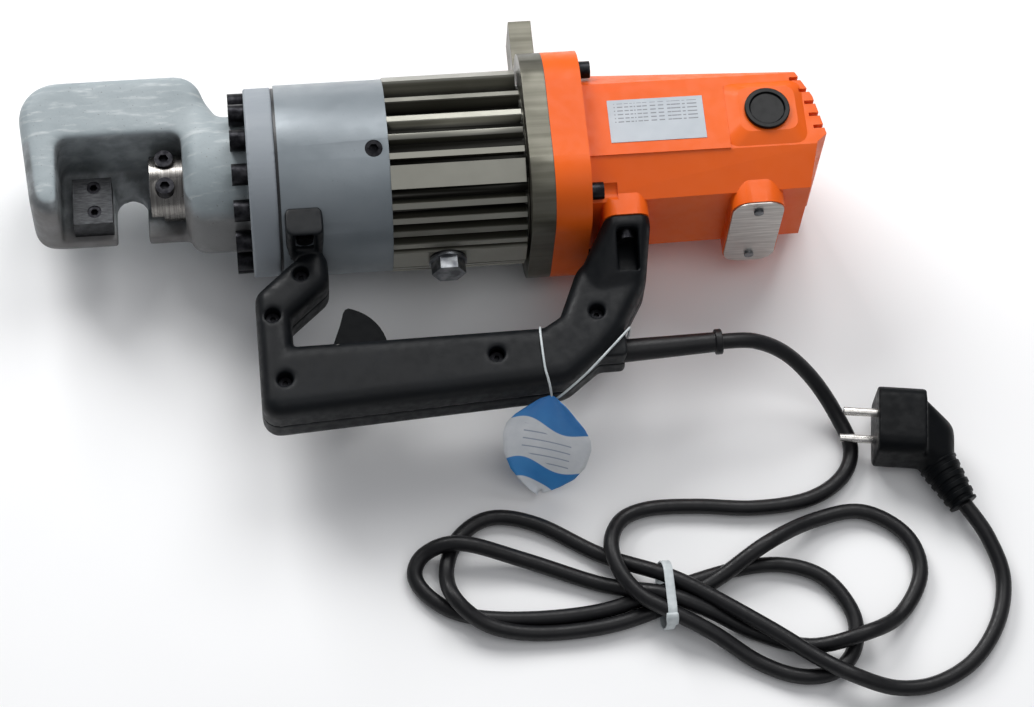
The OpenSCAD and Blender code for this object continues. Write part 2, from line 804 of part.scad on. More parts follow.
module handle_form() {
    // upright of the handle
    hull() {
        pebble(138.4, -96, 10, grip_half, grip_edge);
        pebble(138.4, -145, 10, grip_half, grip_edge);
    }
    // arm to the front foot
    hull() {
        pebble(136.9, -83, 8.5, grip_half, grip_edge);
        pebble(138.4, -89.5, 10, grip_half, grip_edge);
        pebble(162.5, -70.5, 8.5, grip_half, grip_edge);
        pebble(162.5, -61, 8.5, grip_half, grip_edge);
        pebble(153, -68.7, 8.5, grip_half, grip_edge);
    }
    // grip
    hull() {
        pebble(149, -132, 20, grip_half, grip_edge);
        pebble(138.4, 9.5 - handle_reach, 9.5, grip_half, grip_edge);
        pebble(294, -128, 17.5, grip_half, grip_edge);
    }
    hull() {
        pebble(294, -128, 17.5, grip_half, grip_edge);
        pebble(311, -117, 15.8, grip_half, grip_edge);
        pebble(322, -107, 14.2, grip_half, grip_edge);
    }
    // arm to the rear foot
    hull() {
        pebble(311, -117, 15.8, grip_half, grip_edge);
        pebble(322, -107, 14.2, grip_half, grip_edge);
        pebble(337.5, -82, 13.5, grip_half, grip_edge);
        pebble(322.5, -84, 13.5, grip_half, grip_edge);
    }
    hull() {
        pebble(337.5, -82, 13.5, grip_half, grip_edge);
        pebble(324.5, -84, 13.5, grip_half, grip_edge);
        translate([rear_foot_x, rear_foot_y, 0]) rotate([90, 0, 0])
            linear_extrude(6, $fn = hull_fn)
                rounded_box_outline([-boss_half[0], boss_half[0]],
                    [-boss_half[1], boss_half[1]], boss_r);
    }
    // front foot that hugs the cylinder
    translate([0, 0, -foot_half]) linear_extrude(2 * foot_half)
        rounded_box_outline(front_foot_x, front_foot_y, 4);
    // box for the cord entry
    translate([0, 0, -12]) linear_extrude(24)
        rounded_box_outline(gland_x, gland_y, 3);
}

// A fin with a rounded back, concentric with its pivot, and a hollow front.
module trigger_outline() {
    back = [for (a = [70 : -8 : -10]) trigger_pivot + trigger_r * [cos(a), sin(a)]];
    front = [[170, -124], [170.2, -112], [172.6, -105.5], [174.8, -100], [176.4, -95],
        [177.4, -91.4], [178.6, -89.4], [180.6, -88.5]];
    polygon(concat(front, back));
}

module handle_room() {
    // switch room and cord way
    block([164, 296], [-141, -115.5], [-13, 13]);
    bar_x(290, 345, 5.5, guard_start[1]);
    // slot for the trigger
    block([165, 203], [-130, -100], [-trigger_half - 0.5, trigger_half + 0.5]);
    // seat of the guard
    translate([guard_start[0], guard_start[1], 0]) rotate([0, 0, guard_angle])
        bar_x(-9, 4, guard_r + 0.4);
    // hollow that takes the cylinder and the flange of the head
    bar_x(head_flange_start, cylinder_end, cylinder_r + fit);
    bar_z(-17, 17, 2 + fit, trigger_pivot[0], trigger_pivot[1]);
    for (p = shell_screws) {
        bar_z(-15, 20, shell_screw_r + fit, p[0], p[1]);
        bar_z(9, foot_half, shell_screw_head_r + 0.6, p[0], p[1]);
    }
    for (side = [-1, 1]) {
        bar_y(-70, -30, mount_screw_r + fit, front_screw_x, side * front_screw_z);
        bar_y(-80, -50, mount_screw_r + fit, rear_screw_x, side * rear_screw_z);
        mirror([0, 0, side < 0 ? 1 : 0]) {
            block(front_window[0], front_window[1], front_window[2]);
            block(rear_window[0], rear_window[1], rear_window[2]);
        }
    }
}

module handle_shell(side) {
    difference() {
        handle_form();
        handle_room();
        translate([0, 0, side > 0 ? -100 : 0])
            block([100, 380], [-170, 0], [0, 100]);
    }
}

module handle_shell_upper() color("darkslategray") tool() handle_shell(1);

module handle_shell_lower() color("darkslategray") tool() handle_shell(-1);

module handle_shell_screws() color("black") tool()
    for (p = shell_screws) difference() {
        union() {
            bar_z(9, 12, shell_screw_head_r, p[0], p[1]);
            bar_z(-14, 9, shell_screw_r, p[0], p[1]);
        }
        translate([p[0], p[1], 10.2]) cylinder(h = 2, r = 1.8, $fn = 6);
    }

module handle_mount_screws() color("gray") tool()
    for (side = [-1, 1]) {
        bar_y(-55, front_seat_y, mount_head_r, front_screw_x, side * front_screw_z);
        bar_y(front_seat_y, -36, mount_screw_r, front_screw_x, side * front_screw_z);
        bar_y(-65.5, -60, mount_head_r, rear_screw_x, side * rear_screw_z);
        bar_y(-60, -43, mount_screw_r, rear_screw_x, side * rear_screw_z);
    }

module trigger() color("black") tool() difference() {
    translate([0, 0, -trigger_half]) linear_extrude(2 * trigger_half) union() {
        trigger_outline();
        translate(trigger_pivot) circle(r = 5);
    }
    bar_z(-trigger_half - eps, trigger_half + eps, 2.04, trigger_pivot[0], trigger_pivot[1]);
}

module trigger_pin() color("silver") tool()
    bar_z(-16.5, 16.5, 2, trigger_pivot[0], trigger_pivot[1]);

module trigger_spring() color("gray") tool()
    translate([trigger_pivot[0] + 9, trigger_pivot[1] - 11.5, 0]) spring_x(21, 2.6, 0.7, 4);

module switch_body() color("black") tool() block([204, 250], [-139, -118], [-11, 11]);

module cord_guard() color("black") tool()
    translate([guard_start[0], guard_start[1], 0]) rotate([0, 0, guard_angle]) difference() {
        union() {
            bar_x(-6, 1, guard_r);
            translate([1, 0, 0]) rotate([0, 90, 0])
                cylinder(h = guard_length - 4, r1 = guard_r, r2 = guard_r - 0.9);
            bar_x(guard_length - 4, guard_length, guard_r + 0.7);
        }
        bar_x(guard_length - 3, guard_length + eps, cord_d / 2 + 1);
    }

// ---- cord, plug and tie ----

module power_cord() color("black") swept_tube(cord_route, cord_d / 2, cord_sides);

module plug_body() color("black") {
    translate(plug_at) rotate(plug_turn) prism_x(0, plug_length)
        rounded_box_outline([-plug_half[0], plug_half[0]], [-plug_half[1], plug_half[1]],
            plug_corner_r);
    hull() {
        translate(plug_at) rotate(plug_turn)
            block([plug_length - 4, plug_length - 2], [-16, 15], [-12, 13]);
        translate(elbow) sphere(r = 12, $fn = hull_fn);
        translate(boot_start) sphere(r = 11.5, $fn = hull_fn);
    }
    hull() {
        translate(boot_start) sphere(r = 11.5, $fn = hull_fn);
        translate(boot_end) rotate([0, 0, -65]) bar_x(-1, 0, 7.8, $fn = hull_fn);
    }
}

module plug_pins() color("silver")
    translate(plug_at) rotate(plug_turn) rotate([plug_roll, 0, 0])
        for (side = [-1, 1]) bar_x(-plug_pin_length, 0, plug_pin_r, side * plug_pin_gap);

module cable_tie() color("white") difference() {
    tie_form(tie_r + tie_wall, 2.5);
    tie_form(tie_r, 2.5 + eps);
}

module tie_form(r, half_w) {
    for (y = tie_y) bar_x(tie_x - half_w, tie_x + half_w, r, y, tie_z);
    block([tie_x - half_w, tie_x + half_w], tie_y, [tie_z - r, tie_z + r]);
}

cutter_head();
head_bolts();
fixed_blade();
fixed_blade_screws();
piston_ram();
moving_blade();
moving_blade_screws();
piston_seal();
head_seal_ring();
piston_return_spring();
hydraulic_cylinder();
bleed_screw();
oil_reservoir();
oil_filler_plug();
filler_plug_washer();
oil_bladder();
pump_body();
pump_plunger();
plunger_spring();
relief_valve();
eccentric_shaft();
eccentric_bearings();
drive_gear();
lug_flange();
motor_housing();
flange_screws();
rotor_shaft();
rotor_core();
commutator();
cooling_fan();
front_bearing();
rear_bearing();
stator_core();
stator_windings();
brush_holders();
carbon_brushes();
brush_caps();
side_label();
nameplate();
nameplate_screws();
handle_shell_upper();
handle_shell_lower();
handle_shell_screws();
handle_mount_screws();
trigger();
trigger_pin();
trigger_spring();
switch_body();
cord_guard();
power_cord();
plug_body();
plug_pins();
cable_tie();
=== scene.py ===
"""Looks of the portable rebar cutter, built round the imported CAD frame. Lengths in metres."""
import json
import math

import bpy
import numpy as np
from mathutils import Matrix, Vector


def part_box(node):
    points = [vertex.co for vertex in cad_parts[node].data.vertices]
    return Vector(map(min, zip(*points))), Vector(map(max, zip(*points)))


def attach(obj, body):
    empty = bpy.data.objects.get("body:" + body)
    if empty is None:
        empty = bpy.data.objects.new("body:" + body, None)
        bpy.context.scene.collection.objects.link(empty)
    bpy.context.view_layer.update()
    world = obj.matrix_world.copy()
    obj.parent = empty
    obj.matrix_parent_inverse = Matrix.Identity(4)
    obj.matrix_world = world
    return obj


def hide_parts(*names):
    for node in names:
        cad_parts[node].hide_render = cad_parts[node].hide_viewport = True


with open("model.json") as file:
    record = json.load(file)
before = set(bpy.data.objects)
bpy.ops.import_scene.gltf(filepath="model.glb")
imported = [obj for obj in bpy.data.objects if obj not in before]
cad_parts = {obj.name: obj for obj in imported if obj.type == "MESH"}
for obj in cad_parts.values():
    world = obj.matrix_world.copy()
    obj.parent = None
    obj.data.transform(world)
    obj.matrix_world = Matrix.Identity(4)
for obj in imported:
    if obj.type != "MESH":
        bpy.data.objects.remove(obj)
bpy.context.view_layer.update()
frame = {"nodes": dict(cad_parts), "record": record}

NODES = frame["nodes"]
SLOTS = {part["node"]: part["material_slot"] for part in frame["record"]["subparts"]}
MM = 0.001
# the tool's axis and the plane where the handle's shells meet, in metres
AXIS_Y, AXIS_Z = 0.0325, 0.0565
# the tool's axis and the head's tip in the world, in millimetres
TOOL_ORIGIN = Vector((-230, 32.5, 56.5))


# ---- camera: the photograph's viewing angle ----

CAMERA_AT = Vector((-0.102, -0.836, 1.670))
CAMERA_AIM = Vector((0.0464, -0.0745, 0.030))
CAMERA_ROLL = math.radians(6.24)
CAMERA_LENS = 109.8


def make_camera():
    """The scene's camera, tilted a little to its side like the photographer's."""
    data = bpy.data.cameras.new("camera")
    data.lens = CAMERA_LENS
    data.clip_start, data.clip_end = 0.05, 30
    camera = bpy.data.objects.new("camera", data)
    bpy.context.scene.collection.objects.link(camera)
    look = (CAMERA_AIM - CAMERA_AT).to_track_quat("-Z", "Y").to_matrix().to_4x4()
    camera.matrix_world = Matrix.Translation(CAMERA_AT) @ look @ Matrix.Rotation(CAMERA_ROLL, 4, "Z")
    bpy.context.scene.camera = camera


make_camera()


# ---- cord ----

CORD_DIAMETER = 0.009
# The same route as in the CAD source, in millimetres.
CORD_ROUTE = [
    (159.5, -87.7, 56.5), (180, -87, 53), (199, -91, 42), (216, -101, 25), (229, -117, 10.5),
    (236, -137, 4.6), (228, -155, 4.6), (207, -167, 5), (176, -170, 5), (142, -166.5, 5),
    (115, -166, 5), (98, -173, 8), (90, -189, 14), (93, -207, 16), (103, -222, 16),
    (118, -232, 15.5), (142, -246, 11), (166, -263, 5), (188, -273, 5), (208, -272, 5),
    (221, -259, 5), (223, -238, 5), (210, -216, 5), (187, -206, 5), (158, -207, 5),
    (118, -217, 6), (80, -226, 5), (40, -227.5, 5), (6, -223, 5), (-13, -212, 5),
    (-22, -197, 5), (-15, -185, 8), (5, -183, 15), (40, -193, 8), (80, -209, 5),
    (100, -216, 10), (118, -222.5, 15.5), (140, -232, 12), (166, -245, 5), (196, -256, 6),
    (226, -254, 15), (250, -241, 6), (265, -217, 5), (260, -193, 5), (237, -177, 5),
    (208, -181, 7), (178, -196, 15), (148, -213, 8), (118, -226, 6), (84, -235, 5),
    (45, -236.5, 5), (17, -231, 9), (-1, -216, 15), (-4, -196, 8), (5, -175.5, 5),
    (24, -165, 5), (50, -171, 5), (84, -192, 5), (118, -210.5, 15.5), (142, -225, 15.5),
    (176, -249, 15), (197, -265, 14), (217, -278, 15), (241, -285, 8), (265, -283, 5),
    (288, -271, 5), (305, -249, 5), (312, -223, 5), (306, -199, 9), (295.5, -180, 12),
]
CORD_STEPS = 8


def smooth_path(points, steps):
    """A Catmull-Rom curve through the points."""
    ends = [points[0]] + list(points) + [points[-1]]
    path = []
    for a, b, c, d in zip(ends, ends[1:], ends[2:], ends[3:]):
        for k in range(steps):
            t = k / steps
            path.append(0.5 * (2 * b + (c - a) * t + (2 * a - 5 * b + 4 * c - d) * t * t
                               + (3 * b - a - 3 * c + d) * t ** 3))
    return path + [points[-1]]


def curve_tube(name, path, radius, sides):
    """A round tube along the path, as a curve object."""
    data = bpy.data.curves.new(name, "CURVE")
    data.dimensions = "3D"
    # Blender grows a curve's box by each point's radius, so that holds the real one
    data.bevel_depth = 1
    data.bevel_resolution = sides
    data.use_fill_caps = True
    spline = data.splines.new("POLY")
    spline.points.add(len(path) - 1)
    for point, place in zip(spline.points, path):
        point.co = (*place, 1)
        point.radius = radius
    spline.use_smooth = True
    piece = bpy.data.objects.new(name, data)
    bpy.context.scene.collection.objects.link(piece)
    return piece


cord_path = smooth_path([Vector(p) * MM for p in CORD_ROUTE], CORD_STEPS)
cord = curve_tube("mains_cord", cord_path, CORD_DIAMETER / 2, 4)
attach(cord, "machine")
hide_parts("power_cord")


# ---- cable tie round the bundled cord ----

def add_mesh(name, points, faces):
    """A smooth-shaded mesh object."""
    mesh = bpy.data.meshes.new(name)
    mesh.from_pydata([tuple(p) for p in points], [], faces)
    mesh.polygons.foreach_set("use_smooth", [True] * len(faces))
    piece = bpy.data.objects.new(name, mesh)
    bpy.context.scene.collection.objects.link(piece)
    return piece


def tube_mesh(name, rings):
    """Joins closed rings of the same number of points into a capped tube."""
    sides = len(rings[0])
    points = [p for ring in rings for p in ring]
    faces = [(i * sides + k, i * sides + (k + 1) % sides,
              (i + 1) * sides + (k + 1) % sides, (i + 1) * sides + k)
             for i in range(len(rings) - 1) for k in range(sides)]
    faces += [tuple(range(sides))[::-1], tuple((len(rings) - 1) * sides + k for k in range(sides))]
    return add_mesh(name, points, faces)


# the strap's section, in shares of its half width and of its thickness
TIE_SECTION = [(-1, 0.2), (-0.86, 0), (0.86, 0), (1, 0.2),
               (1, 0.8), (0.86, 1), (-0.86, 1), (-1, 0.8)]
# the tie's head: place along it, half width and height in millimetres
TIE_HEAD = [(-4, 2.6, 0.6), (-3.6, 3.3, 1.6), (0, 3.5, 2.4), (3.2, 3.3, 2.2), (3.6, 2.8, 1.2)]
TIE_HEAD_SECTION = [(-1, 0), (1, 0), (1, 0.75), (0.7, 1), (-0.7, 1), (-1, 0.75)]


TIE_HALF_WIDTH, TIE_THICKNESS, TIE_STEPS = 0.0026, 0.0012, 60
# how far the strap leans to one side and how deep it bites into the strands, in metres
TIE_LEAN, TIE_BITE = 0.0015, 0.0002


def make_tie():
    """A flat strap pulled round the bundle of strands, and its head."""
    low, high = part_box("cable_tie")
    centre = (Vector(low) + Vector(high)) / 2
    half_height = (high[2] - low[2]) / 2 - TIE_THICKNESS
    straight = (high[1] - low[1]) / 2 - TIE_THICKNESS - half_height
    rings = []
    for k in range(TIE_STEPS + 1):
        turn = 2 * math.pi * k / TIE_STEPS
        side = straight if math.cos(turn) >= 0 else -straight
        out = Vector((0, math.cos(turn), math.sin(turn)))
        root = centre + Vector((TIE_LEAN * math.sin(turn), side, 0)) + out * (half_height - TIE_BITE)
        rings.append([root + Vector((TIE_HALF_WIDTH * x, 0, 0)) + out * (TIE_THICKNESS * q)
                      for x, q in TIE_SECTION])
    strap = tube_mesh("tie_strap", rings)
    start = centre + Vector((0.001, -straight - half_height * 0.72, half_height * 0.72))
    across = Vector((0, -0.7, 0.7))
    along = Vector((0, 0.7, 0.7))
    head = []
    for t, half, height in TIE_HEAD:
        base = start + along * (t * MM)
        head.append([base + Vector((x * half * MM, 0, 0)) + across * (q * height * MM)
                     for x, q in TIE_HEAD_SECTION])
    box = tube_mesh("tie_head", head)
    for piece in (strap, box):
        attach(piece, "machine")
    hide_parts("cable_tie")
    return [strap, box]


tie_pieces = make_tie()


# ---- moulded and cast parts: rounded copies of their CAD nodes ----

RELAX_STEP = 0.6


def relax(mesh, rounds, weight_of):
    """Laplacian smoothing of a mesh; weight_of gives each point's share, 0 to 1."""
    count = len(mesh.vertices)
    points = np.empty(count * 3)
    mesh.vertices.foreach_get("co", points)
    points = points.reshape(-1, 3)
    ends = np.empty(len(mesh.edges) * 2, dtype=np.int64)
    mesh.edges.foreach_get("vertices", ends)
    first, second = ends.reshape(-1, 2).T
    degree = np.maximum(np.bincount(ends, minlength=count), 1)[:, None]
    weight = weight_of(points)[:, None]
    for _ in range(rounds):
        total = np.empty_like(points)
        for axis in range(3):
            total[:, axis] = (np.bincount(first, points[second, axis], count)
                              + np.bincount(second, points[first, axis], count))
        points += weight * RELAX_STEP * (total / degree - points)
    mesh.vertices.foreach_set("co", points.ravel())
    mesh.update()


def rounded_copy(node, name, voxel, rounds, weight_of):
    """A voxel remesh of a CAD node, softened, that stands for the node."""
    source = NODES[node].data.copy()
    piece = bpy.data.objects.new(name, source)
    bpy.context.scene.collection.objects.link(piece)
    remesh = piece.modifiers.new("remesh", "REMESH")
    remesh.mode = "VOXEL"
    remesh.voxel_size = voxel
    remesh.use_smooth_shade = True
    changed = piece.evaluated_get(bpy.context.evaluated_depsgraph_get())
    shape = bpy.data.meshes.new_from_object(changed)
    piece.modifiers.clear()
    piece.data = shape
    bpy.data.meshes.remove(source)
    relax(shape, rounds, weight_of)
    shape.polygons.foreach_set("use_smooth", [True] * len(shape.polygons))
    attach(piece, "machine")
    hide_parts(node)
    return piece


def step(value, low, high):
    """0 at low, 1 at high, straight between them and level outside."""
    return np.clip((value - low) / (high - low), 0, 1)


# Where each of these begins and is in full force, in metres
CASTING_X = (-0.1045, -0.1085)
POCKET_TIP_X, POCKET_RAM_X = (-0.211, -0.2085), (-0.1375, -0.1395)
POCKET_BACK_Y, POCKET_TOP_Z = (0.0555, 0.053), (0.083, 0.080)
RAM_BORE_X, RAM_BORE_R = (-0.142, -0.139), (0.024, 0.021)
SHELL_SEAM = (0.0006, 0.0022)
# share of the smoothing that the pocket doesn't get, and that the shells' seam does
POCKET_SPARED, SEAM_SHARE = 0.85, 0.25


def head_weight(points):
    """Full over the casting, little on the pocket's floor and walls, none on the flange."""
    x, y, z = points.T
    inside = (step(x, *POCKET_TIP_X) * step(x, *POCKET_RAM_X) * step(y, *POCKET_BACK_Y)
              * step(z, *POCKET_TOP_Z))
    bore = step(x, *RAM_BORE_X) * step(np.hypot(y - AXIS_Y, z - AXIS_Z), *RAM_BORE_R)
    return step(x, *CASTING_X) * (1 - POCKET_SPARED * inside) * (1 - bore)


def shell_weight(points):
    """Full over a handle shell, less at the edge where the shells meet."""
    return SEAM_SHARE + (1 - SEAM_SHARE) * step(np.abs(points[:, 2] - AXIS_Z), *SHELL_SEAM)


def full_weight(points):
    """The same over the whole piece."""
    return np.ones(len(points))


# the copy's name, voxel size in metres, rounds of smoothing and their weight
ROUNDED_COPIES = {
    "cutter_head": ("head_casting", 0.0011, 26, head_weight),
    "handle_shell_upper": ("grip_half_upper", 0.0009, 7, shell_weight),
    "handle_shell_lower": ("grip_half_lower", 0.0009, 7, shell_weight),
    "plug_body": ("plug_moulding", 0.0008, 9, full_weight),
}
ROUNDED = {node: rounded_copy(node, *how) for node, how in ROUNDED_COPIES.items()}


# ---- plug: the ribbed sleeve where the cord comes in ----

PLUG_SLEEVE = Vector((281.5, -151, 14.5)) * MM, Vector((294.5, -179, 12)) * MM
# its radius at the plug and how much it narrows, in millimetres
PLUG_SLEEVE_R, PLUG_SLEEVE_TAPER = 11.9, 3.3
PLUG_SLEEVE_RIBS = 5.0
PLUG_SLEEVE_GROOVE = 0.0013
# share of a rib's wave below which it is cut to a groove
GROOVE_LEVEL = 0.35
# where the sleeve starts and how long it is, in shares of the way between its two points
PLUG_SLEEVE_START, PLUG_SLEEVE_LENGTH = 0.12, 0.9


def ring_points(centre, along, radius, count=28):
    """A circle of points round centre, square to along."""
    side = along.cross(Vector((0, 0, 1))).normalized()
    up = side.cross(along).normalized()
    return [centre + side * (radius * math.cos(2 * math.pi * k / count))
            + up * (radius * math.sin(2 * math.pi * k / count)) for k in range(count)]


def make_plug_sleeve():
    """A tapered sleeve with grooves round it, on the line of PLUG_SLEEVE."""
    start, end = PLUG_SLEEVE
    along = (end - start).normalized()
    rings = []
    steps = 60
    for i in range(steps + 1):
        t = i / steps
        radius = (PLUG_SLEEVE_R - PLUG_SLEEVE_TAPER * t) * MM
        rib = 0.5 + 0.5 * math.cos(2 * math.pi * (t * PLUG_SLEEVE_RIBS))
        if rib < GROOVE_LEVEL:
            radius -= PLUG_SLEEVE_GROOVE
        centre = start.lerp(end, PLUG_SLEEVE_START + PLUG_SLEEVE_LENGTH * t)
        rings.append(ring_points(centre, along, radius))
    sleeve = tube_mesh("plug_sleeve", rings)
    edge = sleeve.modifiers.new("edge", "BEVEL")
    edge.width = 0.0003
    edge.segments = 2
    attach(sleeve, "machine")
    return sleeve


plug_sleeve = make_plug_sleeve()


def place(s, y, z):
    """A point given from the head's tip and the tool's axis, in millimetres."""
    return (Vector((s, y, z)) + TOOL_ORIGIN) * MM


# ---- inspection tag tied to the rear of the grip ----

TAG_TOP, TAG_BOTTOM = place(291.5, -149.5, 5), place(284.0, -180.5, -54.5)
TAG_LEFT, TAG_RIGHT = place(264.0, -151.5, -20), place(313.5, -163, -26)
TAG_THICKNESS = 0.0004
TAG_COLUMNS, TAG_ROWS = 16, 40
# how far the card waves and how far its sides curl up, in metres
TAG_WAVE, TAG_CURL = 0.0022, 0.0035
STRING_RADIUS = 0.0007
# half width of the tag at each share of its length, in shares of its greatest one
TAG_WIDTHS = [(0, 0.16), (0.03, 0.3), (0.1, 0.48), (0.22, 0.78), (0.32, 0.95), (0.42, 1.0),
              (0.62, 0.93), (0.78, 0.72), (0.9, 0.42), (0.97, 0.2), (1, 0.06)]
STRING_ROUTE = [
    (291, -149.5, 1), (289.6, -147.4, 12), (288.4, -144.2, 17.6), (287, -137.5, 20.1),
    (286.5, -120, 20.1),
    (286.8, -113, 17.7), (288, -109.6, 9), (290, -109.2, -8), (297, -112, -18), (312, -117, -20.2),
    (328, -116, -17), (338, -111, -8), (338.5, -111.5, 6), (336.5, -116, 15), (326, -126.5, 15.4),
    (311, -139.5, 11.5), (297, -149, 6.5), (291.6, -150.2, 1),
]


def tag_half_width(v):
    """The tag's half width at share v of its length."""
    for (v0, w0), (v1, w1) in zip(TAG_WIDTHS, TAG_WIDTHS[1:]):
        if v <= v1:
            return w0 + (w1 - w0) * (v - v0) / (v1 - v0)
    return TAG_WIDTHS[-1][1]


def make_tag():
    """A thin, slightly curled card and the string that ties it to the grip."""
    down = TAG_BOTTOM - TAG_TOP
    across = TAG_RIGHT - TAG_LEFT
    normal = across.cross(down).normalized()
    if normal.z < 0:
        normal = -normal
    points, faces, marks = [], [], []
    for j in range(TAG_ROWS + 1):
        v = j / TAG_ROWS
        for i in range(TAG_COLUMNS + 1):
            u = 2 * i / TAG_COLUMNS - 1
            lift = TAG_WAVE * math.sin(2.6 * v + 0.8 * u) + TAG_CURL * u * u
            sideways = 0.5 * u * tag_half_width(v)
            points.append(TAG_TOP + down * v + across * sideways + normal * lift)
            marks.append((0.5 + sideways, v))
    for j in range(TAG_ROWS):
        for i in range(TAG_COLUMNS):
            k = j * (TAG_COLUMNS + 1) + i
            faces.append((k, k + 1, k + TAG_COLUMNS + 2, k + TAG_COLUMNS + 1))
    tag = add_mesh("hang_tag", points, faces)
    layer = tag.data.uv_layers.new(name="print")
    for loop in tag.data.loops:
        layer.data[loop.index].uv = marks[loop.vertex_index]
    card = tag.modifiers.new("card", "SOLIDIFY")
    card.thickness = TAG_THICKNESS
    card.offset = 0
    path = smooth_path([place(*p) for p in STRING_ROUTE], 6)
    string = curve_tube("tag_string", path, STRING_RADIUS, 2)
    for piece, slot in ((tag, "label_white"), (string, "tie_nylon")):
        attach(piece, "machine")
    return tag, string


hang_tag, tag_string = make_tag()


# ---- materials ----

NOISE_ROUGHNESS = 0.55


class Surface:
    """A procedural material: its principled shader and short ways to build on it."""

    def __init__(self, name, color, roughness, metallic=0.0):
        self.material = bpy.data.materials.new(name)
        self.material.use_nodes = True
        self.tree = self.material.node_tree
        self.shader = next(n for n in self.tree.nodes if n.type == "BSDF_PRINCIPLED")
        self.shader.inputs["Base Color"].default_value = (*color, 1)
        self.shader.inputs["Roughness"].default_value = roughness
        self.shader.inputs["Metallic"].default_value = metallic
        self.place = self.tree.nodes.new("ShaderNodeTexCoord").outputs["Object"]

    def link(self, source, target):
        """Joins one node's output to another's input."""
        self.tree.links.new(source, target)

    def noise(self, scale, detail, stretch=(1, 1, 1), turn=(0, 0, 0)):
        """Noise of about 1/scale metres; stretch squeezes it along an axis."""
        mapping = self.tree.nodes.new("ShaderNodeMapping")
        mapping.inputs["Scale"].default_value = stretch
        mapping.inputs["Rotation"].default_value = turn
        self.link(self.place, mapping.inputs["Vector"])
        noise = self.tree.nodes.new("ShaderNodeTexNoise")
        noise.inputs["Scale"].default_value = scale
        noise.inputs["Detail"].default_value = detail
        noise.inputs["Roughness"].default_value = NOISE_ROUGHNESS
        self.link(mapping.outputs["Vector"], noise.inputs["Vector"])
        return noise.outputs["Fac"]

    def split(self):
        """The three object coordinates, in metres."""
        node = self.tree.nodes.new("ShaderNodeSeparateXYZ")
        self.link(self.place, node.inputs[0])
        return node.outputs

    def ramp(self, value, low, high, bottom=0.0, top=1.0):
        """Maps value from low..high to bottom..top, clamped."""
        if low > high:
            low, high, bottom, top = high, low, top, bottom
        node = self.tree.nodes.new("ShaderNodeMapRange")
        node.interpolation_type = "SMOOTHSTEP"
        limits = {"From Min": low, "From Max": high, "To Min": bottom, "To Max": top}
        for key, number in limits.items():
            node.inputs[key].default_value = number
        self.link(value, node.inputs["Value"])
        return node.outputs["Result"]

    def band(self, value, low, high, soft):
        """1 where value is between low and high, down to 0 over soft at both ends."""
        rise = self.ramp(value, low, low + soft)
        return self.math("MULTIPLY", rise, self.ramp(value, high, high - soft))

    def mix(self, factor, first, second):
        """A colour between first and second; each is a colour or a socket."""
        node = self.tree.nodes.new("ShaderNodeMix")
        node.data_type = "RGBA"
        self.link(factor, node.inputs["Factor"])
        for key, value in ((6, first), (7, second)):
            if isinstance(value, tuple):
                node.inputs[key].default_value = (*value, 1)
            else:
                self.link(value, node.inputs[key])
        return node.outputs[2]

    def math(self, operation, first, second=0.0):
        """One step of arithmetic; first and second are numbers or sockets."""
        node = self.tree.nodes.new("ShaderNodeMath")
        node.operation = operation
        for socket, value in zip(node.inputs, (first, second)):
            if isinstance(value, (int, float)):
                socket.default_value = value
            else:
                self.link(value, socket)
        return node.outputs[0]

    def color(self, socket):
        """Colours the surface by a socket."""
        self.link(socket, self.shader.inputs["Base Color"])
        return self

    def roughness(self, socket):
        """Sets the surface's roughness by a socket."""
        self.link(socket, self.shader.inputs["Roughness"])
        return self

    def bump(self, height, distance, strength=1.0):
        """Raised detail, distance metres high."""
        node = self.tree.nodes.new("ShaderNodeBump")
        node.inputs["Distance"].default_value = distance
        node.inputs["Strength"].default_value = strength
        self.link(height, node.inputs["Height"])
        previous = self.shader.inputs["Normal"]
        if previous.is_linked:
            self.link(previous.links[0].from_socket, node.inputs["Normal"])
        self.link(node.outputs["Normal"], self.shader.inputs["Normal"])
        return self


SATIN_GREY = (0.235, 0.26, 0.285)
# where the head's painted shade in its pocket and on its lower faces towards the handle begins and is
# in full force, in metres
POCKET_SHADE_X, POCKET_SHADE_Y, POCKET_SHADE_Z = (-0.132, -0.136), (0.056, 0.052), (0.0845, 0.083)
SHADED_SIDE_Y, SHADED_SIDE_Z = (0.0225, 0.0085), (0.083, 0.075)
# where the machined flange ends and the rough casting starts
FLANGE_END_X, CAST_START_X = -0.1006, -0.1012


